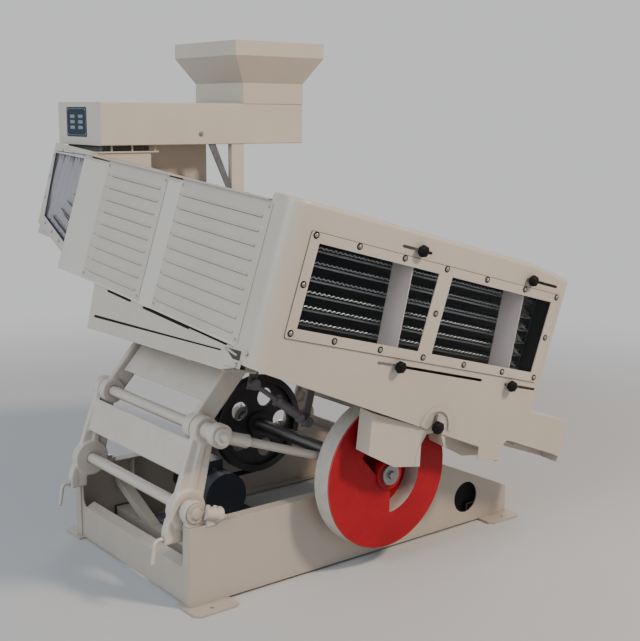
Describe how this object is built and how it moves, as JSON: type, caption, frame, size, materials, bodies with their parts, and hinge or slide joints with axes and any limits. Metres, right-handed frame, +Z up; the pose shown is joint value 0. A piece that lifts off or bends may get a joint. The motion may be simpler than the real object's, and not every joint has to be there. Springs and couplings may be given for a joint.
{
  "type": "paddy separator",
  "caption": "Tray paddy separator with a tilted, windowed tray deck on two rocker frames, driven by a flywheel shaft and connecting rod, with feed hopper and outlet spouts.",
  "frame": {"origin": "on the floor at the centre of the foot bolt pattern", "axes": "+X along the drive side towards the low end and outlets, +Y from the outlet hood to the feed side, +Z up"},
  "size_m": [1.6606, 1.8189, 1.902],
  "materials": {
    "cream_paint": "semi-gloss enamel",
    "panel_paint": "semi-gloss enamel",
    "red_paint": "semi-gloss enamel",
    "motor_paint": "satin",
    "steel": "machined",
    "iron": "machined",
    "black_plastic": "moulded",
    "belt_rubber": "matt",
    "window_glass": "clear",
    "gasket_rubber": "matt"
  },
  "bodies": {
    "base": {"base_side_near": "cream_paint", "base_side_far": "cream_paint", "base_end_plates": "cream_paint", "base_cross_members": "cream_paint", "base_braces": "cream_paint", "foot_plates": "cream_paint", "bearing_blocks": "cream_paint", "bearing_block_bolts": "steel", "motor": "motor_paint", "drive_belts": "belt_rubber"},
    "left_rocker": {"left_rocker_frame": "cream_paint", "left_rocker_shafts": "steel"},
    "right_rocker": {"right_rocker_frame": "cream_paint", "right_rocker_shafts": "steel"},
    "clamp_handle_near": {"clamp_handle_near": "cream_paint"},
    "clamp_handle_far": {"clamp_handle_far": "cream_paint"},
    "drive_train": {"drive_shaft": "steel", "flywheel": "red_paint", "counterweight": "red_paint", "driven_pulley": "iron"},
    "motor_rotor": {"motor_pulley": "iron"},
    "rod": {"connecting_rod": "cream_paint", "eccentric_strap": "cream_paint"},
    "deck": {"cradle_side_members": "cream_paint", "cradle_cross_members": "cream_paint", "cradle_arms": "cream_paint", "cradle_shaft_bearings": "cream_paint", "deck_tilt_supports": "steel", "tilt_adjuster": "steel", "deck_floor": "panel_paint", "deck_walls": "panel_paint", "deck_top": "panel_paint", "deck_end_frame": "panel_paint", "louvre_cover_near": "panel_paint", "louvre_cover_far": "panel_paint", "end_skirt": "panel_paint", "front_hood": "panel_paint", "hood_back_plate": "panel_paint", "window_frame": "panel_paint", "window_panes": "window_glass", "window_bolts": "steel", "separator_trays": "steel", "spout_left": "panel_paint", "spout_middle": "panel_paint", "spout_right": "panel_paint", "diverter_arc_guide": "panel_paint", "feed_chamber": "panel_paint", "feed_window_gasket": "gasket_rubber", "feed_window_pane": "window_glass", "feed_chutes": "steel", "feed_transition": "panel_paint", "feed_duct": "panel_paint", "hopper": "panel_paint", "duct_supports": "panel_paint"},
    "left_splitter": {"splitter_left": "panel_paint", "splitter_left_knobs": "black_plastic"},
    "right_splitter": {"splitter_right": "panel_paint", "splitter_right_knobs": "black_plastic"},
    "diverter": {"diverter_flap": "steel", "diverter_knob": "black_plastic"}
  },
  "joints": [
    {"name": "left_rocker_swing", "type": "hinge", "parent": "base", "child": "left_rocker", "pos_m": [-0.72, 0, 0.325], "axis": [0, 1, 0], "range_deg": [-2.7, 2.7]},
    {"name": "deck_swing", "type": "hinge", "parent": "left_rocker", "child": "deck", "pos_m": [-0.645, 0, 0.582], "axis": [0, 1, 0], "range_deg": [-2.7, 2.7]},
    {"name": "right_rocker_swing", "type": "hinge", "parent": "base", "child": "right_rocker", "pos_m": [0.27, 0, 0.325], "axis": [0, 1, 0], "range_deg": [-2.7, 2.7]},
    {"name": "rod_swing", "type": "hinge", "parent": "left_rocker", "child": "rod", "pos_m": [-0.645, 0, 0.582], "axis": [0, 1, 0], "range_deg": [-2.7, 2.7]},
    {"name": "flywheel_spin", "type": "hinge", "parent": "base", "child": "drive_train", "pos_m": [-0.004, 0, 0.351], "axis": [0, 1, 0], "continuous": true},
    {"name": "motor_spin", "type": "hinge", "parent": "base", "child": "motor_rotor", "pos_m": [-0.35, 0, 0.19], "axis": [0, 1, 0], "continuous": true},
    {"name": "left_splitter_slide", "type": "slide", "parent": "deck", "child": "left_splitter", "axis": [0.9659, 0, -0.2588], "range_m": [-0.07, 0.05]},
    {"name": "right_splitter_slide", "type": "slide", "parent": "deck", "child": "right_splitter", "axis": [0.9659, 0, -0.2588], "range_m": [-0.008, 0.14]},
    {"name": "diverter_turn", "type": "hinge", "parent": "deck", "child": "diverter", "pos_m": [0.08803, -0.6648, 0.54101], "axis": [0.0199, 0.9971, 0.0741], "range_deg": [-35, 35]},
    {"name": "clamp_turn_near", "type": "hinge", "parent": "left_rocker", "child": "clamp_handle_near", "pos_m": [-0.78, -0.345, 0.239], "axis": [1, 0, 0], "range_deg": [-50, 50]},
    {"name": "clamp_turn_far", "type": "hinge", "parent": "left_rocker", "child": "clamp_handle_far", "pos_m": [-0.78, 0.345, 0.239], "axis": [1, 0, 0], "range_deg": [-50, 50]}
  ],
  "couplings": [
    {"joint": "deck_swing", "follows": "left_rocker_swing", "ratio": -1},
    {"joint": "right_rocker_swing", "follows": "left_rocker_swing", "ratio": 1},
    {"joint": "rod_swing", "follows": "left_rocker_swing", "ratio": -1},
    {"joint": "motor_spin", "follows": "flywheel_spin", "ratio": 4.6993}
  ]
}
